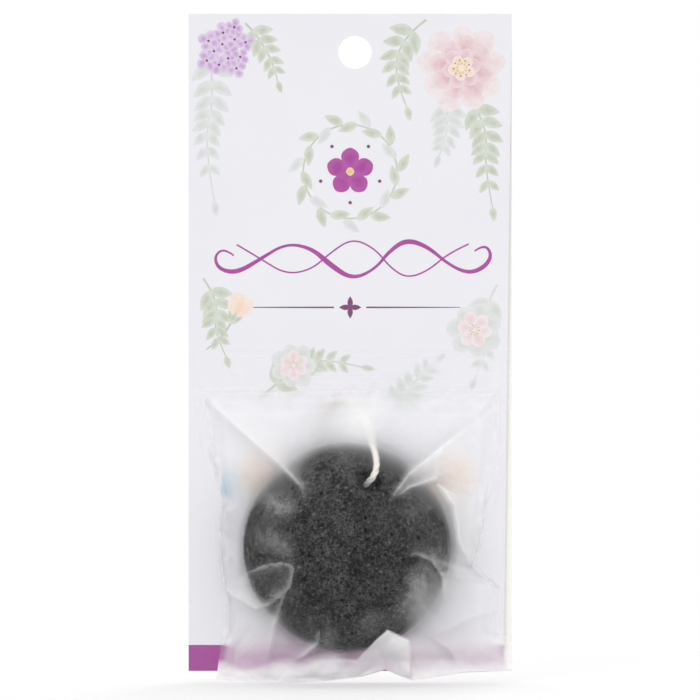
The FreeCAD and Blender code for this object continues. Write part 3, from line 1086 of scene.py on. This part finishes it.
def stroke(ink, route, widths, closed=False):
    # A pen line along a smooth curve, as wide as its places say
    holder = nurbsLine("stroke", [(x * mm, 0, z * mm) for x, z in route], 8, closed)
    holder.data.bevel_depth = 0.5 * mm
    holder.data.bevel_resolution = 0
    holder.data.use_fill_caps = True
    for point, width in zip(holder.data.splines[0].points, widths):
        point.radius = width
    pick(holder)
    bpy.ops.object.convert(target="MESH")
    bpy.ops.object.shade_flat()
    line = bpy.context.object
    points = getPoints(line)
    depth = np.clip(points[:, 1] / (0.05 * mm), -1, 1) * inkLook["thickness"] / 2
    points[:, 1] = nextLevel() - inkLook["thickness"] / 2 + depth
    setPoints(line, points)
    paint(line, "rim", np.full(len(points), 0.3))
    inkStore[ink].append(line)


def aside(place, angle, reach):
    return (place[0] + reach * math.cos(math.radians(angle)), place[1] + reach * math.sin(math.radians(angle)))


def blossom(place, reach, rounds, turn=0.0):
    # An open flower: rounds of petals, each shorter than the last, and an eye ringed with stamens
    startMotif(26)
    for step, (count, share, ink) in enumerate(rounds):
        pattern = flowerPetal(reach * share, reach * share * 2.9 / math.sqrt(count) / 1.6)
        for index in range(count):
            angle = turn + 360 * (index + 0.5 * step) / count + 5 * math.sin(3.1 * index)
            stamp(pattern, ink, place, angle, 0.95 + 0.05 * math.sin(2.3 * index))
        discard(pattern)
    dot = dotOf(1.0)
    for index in range(9):
        stamp(dot, "gold", aside(place, turn + 40 * index, reach * 0.1), 0, reach * 0.03)
        stamp(dot, "plum", aside(place, turn + 40 * index + 14, reach * 0.17), 0, reach * 0.016)
    discard(dot)


def floretHead(place, count, spread, size):
    # A round head of four-petalled florets, set out in a spiral
    startMotif(22)
    part = flowerPetal(size, size * 0.85)
    dot = dotOf(size * 0.12)
    for index in range(count):
        angle = 137.5 * index
        spot = aside(place, angle, spread * math.sqrt(index / count))
        for quarter in range(4):
            stamp(part, "lilac", spot, angle + 90 * quarter, 1.0 - 0.15 * (index % 3) / 2)
        stamp(dot, "plum", spot, 0)
    discard(part, dot)


def sprig(route, pairs, size, ink):
    # A stem with leaves in pairs that shrink towards its tip
    startMotif(0)
    stroke(ink, route, np.linspace(0.7, 0.35, len(route)))
    leaf = leafBlade(1.0, 0.5)
    line = smoothLine([(place[0], 0, place[1]) for place in route])
    for index in range(pairs):
        at = int((0.15 + 0.8 * index / pairs) * (len(line) - 1))
        ahead = line[at + 1] - line[at - 1]
        heading = math.degrees(math.atan2(ahead[2], ahead[0]))
        length = size * (1 - 0.45 * index / pairs)
        for side in (-1, 1):
            turn = heading + side * (54 - 14 * index / pairs)
            stamp(leaf, ink, (line[at][0], line[at][2]), turn, length)
    stamp(leaf, ink, (line[-1][0], line[-1][2]), heading, size * 0.6)
    discard(leaf)


def bud(place, turn, size):
    # A closed bud on its stalk
    startMotif(22)
    stalk = [place, aside(place, turn + 180, size * 0.5), aside(place, turn + 165, size * 1.1)]
    stroke("sage", stalk, [0.7, 0.6, 0.4])
    outer = flowerPetal(size, size * 0.44)
    calyx = leafBlade(size * 0.42, size * 0.17)
    for lean in (-15, 15, 0):
        stamp(outer, "peach", place, turn + lean)
    for lean in (-32, 32, 0):
        stamp(calyx, "sage", place, turn + lean)
    discard(outer, calyx)


def wreath(place, radius, leaves):
    # Leaves that follow each other round a ring, and a small flower in its middle
    startMotif(0)
    ring = [aside(place, turn, radius) for turn in range(0, 360, 30)]
    stroke("sage", ring, [0.5] * len(ring), closed=True)
    leaf = leafBlade(6.4, 3.0)
    for index in range(leaves):
        angle = 360 * index / leaves
        lean = 30 if index % 2 else -30
        stamp(leaf, "mist" if index % 3 == 1 else "sage", aside(place, angle, radius), angle + 90 + lean)
    discard(leaf)
    startMotif(40)
    part = flowerPetal(7.4, 5.6)
    for index in range(5):
        stamp(part, "magenta", place, 90 + 72 * index)
    dot = dotOf(1.0)
    stamp(dot, "gold", place, 0, 1.3)
    for index in range(5):
        stamp(dot, "plum", aside(place, 54 + 72 * index, 9.6), 0, 0.55)
    discard(part, dot)


def scroll(rise):
    # A winding line with a curl at each end, and a finer one that crosses it
    startMotif(10)
    route = [(-37.5, 1.0), (-40.5, 3.4), (-43.6, 0.8), (-42.2, -3.2), (-36.6, -4.4), (-29.5, -0.2), (-21.5, 4.8),
             (-13.5, 3.4), (-7.5, -2.0), (-0.8, -6.4), (6.2, -3.2), (10.8, 2.6), (16.0, 6.0), (22.5, 3.8),
             (29.0, -1.8), (35.2, -4.6), (40.4, -2.4), (42.4, 1.4), (40.0, 4.6), (37.0, 2.4)]
    widths = [0.5, 0.6, 0.8, 1.1, 1.5, 1.1, 0.7, 1.2, 1.8, 1.2, 0.7, 1.1, 1.6, 1.2, 0.8, 1.2, 1.4, 1.0, 0.7, 0.5]
    stroke("magenta", [(x, rise + z) for x, z in route], widths)
    fine = [(x, rise - z) for x, z in route[4:-4]]
    stroke("magenta", fine, [0.5] * len(fine))


def ruledLines(rise):
    # Two fine rules with a lozenge of four leaves between them
    startMotif(10)
    for side in (-1, 1):
        route = [(-1.5 + side * away, rise) for away in (5.0, 14.0, 24.0, 34.0)]
        stroke("plum", route, [0.5, 0.45, 0.35, 0.2])
    leaf = leafBlade(3.4, 1.7)
    for index in range(4):
        stamp(leaf, "plum", (-1.5, rise), 90 * index)
    discard(leaf)


def printCard():
    peony = [(9, 1.0, "blush"), (8, 0.72, "rose"), (6, 0.46, "rose"), (5, 0.3, "peach")]
    daisy = [(7, 1.0, "mist"), (6, 0.66, "blush")]
    sprig([(22.0, 10.0), (14.0, 4.0), (12.0, -8.0), (16.0, -17.0)], 6, 7.5, "sage")
    sprig([(34.0, -12.0), (41.0, -22.0), (40.0, -35.0), (42.5, -48.0)], 7, 7.5, "sage")
    sprig([(28.0, -14.0), (30.0, -24.0), (26.0, -32.0)], 5, 7.0, "mist")
    blossom((33.0, -5.0), 14.6, peony, 10)
    sprig([(-46.0, 6.0), (-43.0, -12.0), (-47.0, -28.0), (-43.5, -46.0)], 8, 8.0, "mist")
    sprig([(-34.0, 9.0), (-26.0, 1.0), (-24.0, -9.0)], 5, 6.5, "sage")
    floretHead((-39.5, 1.0), 13, 7.6, 3.4)
    wreath((-1.5, -37.0), 15.0, 22)
    scroll(-64.0)
    ruledLines(-79.0)
    sprig([(-47.0, -70.0), (-42.0, -77.0), (-44.0, -86.0), (-40.0, -94.0)], 6, 7.0, "sage")
    bud((-38.5, -84.0), 62, 10.0)
    sprig([(44.0, -72.0), (39.0, -81.0), (41.5, -92.0), (37.0, -101.0)], 7, 7.0, "mist")
    blossom((37.0, -86.0), 9.0, daisy, 20)
    sprig([(-30.0, -108.0), (-20.0, -98.0), (-9.0, -94.5), (2.0, -97.5)], 7, 7.0, "sage")
    blossom((-19.0, -97.0), 7.5, daisy, 0)
    sprig([(12.0, -112.0), (17.0, -102.0), (25.0, -96.0)], 5, 7.0, "mist")
    blossom((30.0, -131.5), 7.5, [(6, 1.0, "peach")], 15)
    blossom((-29.5, -131.0), 7.5, [(6, 1.0, "peach")], 30)
    blossom((-37.0, -133.5), 5.5, [(5, 1.0, "sky")], 0)


def layInk(name):
    # All the strokes and petals of one ink become one thin layer
    deselect()
    for piece in inkStore[name]:
        piece.select_set(True)
    bpy.context.view_layer.objects.active = inkStore[name][0]
    bpy.ops.object.join()
    layer = bpy.context.object
    layer.name = name + "Print"
    finishPiece(layer, inkMaterial(name), "pack")


printCard()
for ink in inks:
    layInk(ink)
print("print: inks", len(inks))


# Tape between the bag and the card: clear strips with the jagged ends that a cutter leaves

tapeLook = {
    "bare": 0.004 * mm,       # room to the card and to the film
    "tooth": 0.7 * mm,
    "clear": 0.93,            # how much of what lies behind shows through
    "columns": 60,
    "rows": 12,
}


def tapeMaterial():
    material, tree, shader = newMaterial("clearTape")
    fibre = noiseAt(tree, 700, 4.0)
    colour = ramp(tree, fibre, [(0.3, fromSrgb(232, 231, 234)), (0.7, fromSrgb(243, 242, 244))])
    tree.links.new(colour, shader.inputs["Base Color"])
    shader.inputs["Roughness"].default_value = 0.35
    bumpOn(tree, shader, fibre, 0.2, 0.05 * mm)
    clear = addNode(tree, "ShaderNodeBsdfTransparent", Color=(1, 1, 1, 1))
    thin = mixShaders(tree, tapeLook["clear"], shader.outputs["BSDF"], clear.outputs["BSDF"])
    letLampsThrough(tree, thin, clear)
    return material


def makeTape(name, node, material):
    low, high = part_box(node)
    bpy.ops.mesh.primitive_grid_add(x_subdivisions=tapeLook["columns"], y_subdivisions=tapeLook["rows"], size=2)
    strip = bpy.context.object
    strip.name = name
    points = getPoints(strip)
    row = np.round((points[:, 1] + 1) / 2 * tapeLook["rows"])
    inset = tapeLook["tooth"] * (row % 2) * np.abs(points[:, 0])
    x = (low.x + high.x) / 2 + points[:, 0] * ((high.x - low.x) / 2 - inset)
    z = (low.z + high.z) / 2 + points[:, 1] * (high.z - low.z) / 2
    setPoints(strip, np.stack([x, np.full(len(x), (low.y + high.y) / 2), z], axis=1))
    thicken(strip, high.y - low.y - 2 * tapeLook["bare"])
    finishPiece(strip, material, "pack")
    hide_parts(node)


clearTape = tapeMaterial()
makeTape("bagTapeUpper", "bag_tape_upper", clearTape)
makeTape("bagTapeLower", "bag_tape_lower", clearTape)
print("tape: laid")


# Stage: white floor, white surroundings, soft lamps

stageLook = {
    "floorZ": -195.1 * mm,
    "floorReach": 0.55,
    "ambient": 0.5,
}
# Name, place, width and power
lamps = [
    ("keyLamp", (-0.75, -1.0, 0.45), 0.8, 5),
    ("fillLamp", (0.9, -0.9, 0.1), 0.9, 3.2),
    ("lowLamp", (0.1, -1.0, -0.16), 0.5, 1.2),
    ("backLamp", (0.5, 1.1, 0.35), 0.8, 5),
    ("topLamp", (0.0, 0.1, 1.0), 0.8, 5.5),
]


def whiteToCamera(tree):
    # True for rays that show the surroundings themselves
    path = addNode(tree, "ShaderNodeLightPath")
    seen = maths(tree, "MAXIMUM", path.outputs["Is Camera Ray"], path.outputs["Is Glossy Ray"])
    seen = maths(tree, "MAXIMUM", seen, path.outputs["Is Transmission Ray"])
    direct = maths(tree, "LESS_THAN", path.outputs["Diffuse Depth"], 0.5)
    return maths(tree, "MULTIPLY", seen, direct)


def makeWorld():
    world = bpy.data.worlds.new("studio")
    bpy.context.scene.world = world
    world.use_nodes = True
    tree = world.node_tree
    light = tree.nodes["Background"]
    light.inputs["Color"].default_value = (1, 1, 1, 1)
    strength = remap(tree, whiteToCamera(tree), 0, 1, stageLook["ambient"], 1.0)
    tree.links.new(strength, light.inputs["Strength"])


def makeFloor():
    bpy.ops.mesh.primitive_circle_add(vertices=96, radius=stageLook["floorReach"], fill_type="NGON")
    floor = bpy.context.object
    floor.name = "floor"
    setPoints(floor, getPoints(floor) + (cameraSetup["aim"].x, 0, stageLook["floorZ"]))
    material, tree, shader = newMaterial("floorWhite")
    shader.inputs["Base Color"].default_value = (0.92, 0.92, 0.92, 1)
    shader.inputs["Roughness"].default_value = 0.9
    shader.inputs["Specular IOR Level"].default_value = 0.1
    place = objectPlace(tree)
    flat = addNode(tree, "ShaderNodeVectorMath", {"operation": "MULTIPLY"})
    tree.links.new(place, flat.inputs[0])
    flat.inputs[1].default_value = (1, 1, 0)
    away = addNode(tree, "ShaderNodeVectorMath", {"operation": "LENGTH"})
    tree.links.new(flat.outputs[0], away.inputs[0])
    fade = remap(tree, away.outputs["Value"], 0.12, 0.5, 0.5, 1.0)
    clear = addNode(tree, "ShaderNodeBsdfTransparent")
    showSurface(tree, mixShaders(tree, fade, shader.outputs["BSDF"], clear.outputs["BSDF"]))
    floor.data.materials.append(material)


def makeLamps():
    for name, place, width, power in lamps:
        data = bpy.data.lights.new(name, "AREA")
        data.shape = "DISK"
        data.size = width
        data.energy = power
        holder = bpy.data.objects.new(name, data)
        bpy.context.scene.collection.objects.link(holder)
        holder.location = place
        aim = cameraSetup["aim"] - holder.location
        holder.rotation_euler = aim.to_track_quat("-Z", "Y").to_euler()


makeWorld()
makeFloor()
makeLamps()
bpy.context.scene.view_settings.view_transform = "Standard"
bpy.context.scene.cycles.transparent_max_bounces = 32   # both films and the tape lie over each other
print("stage: ready")
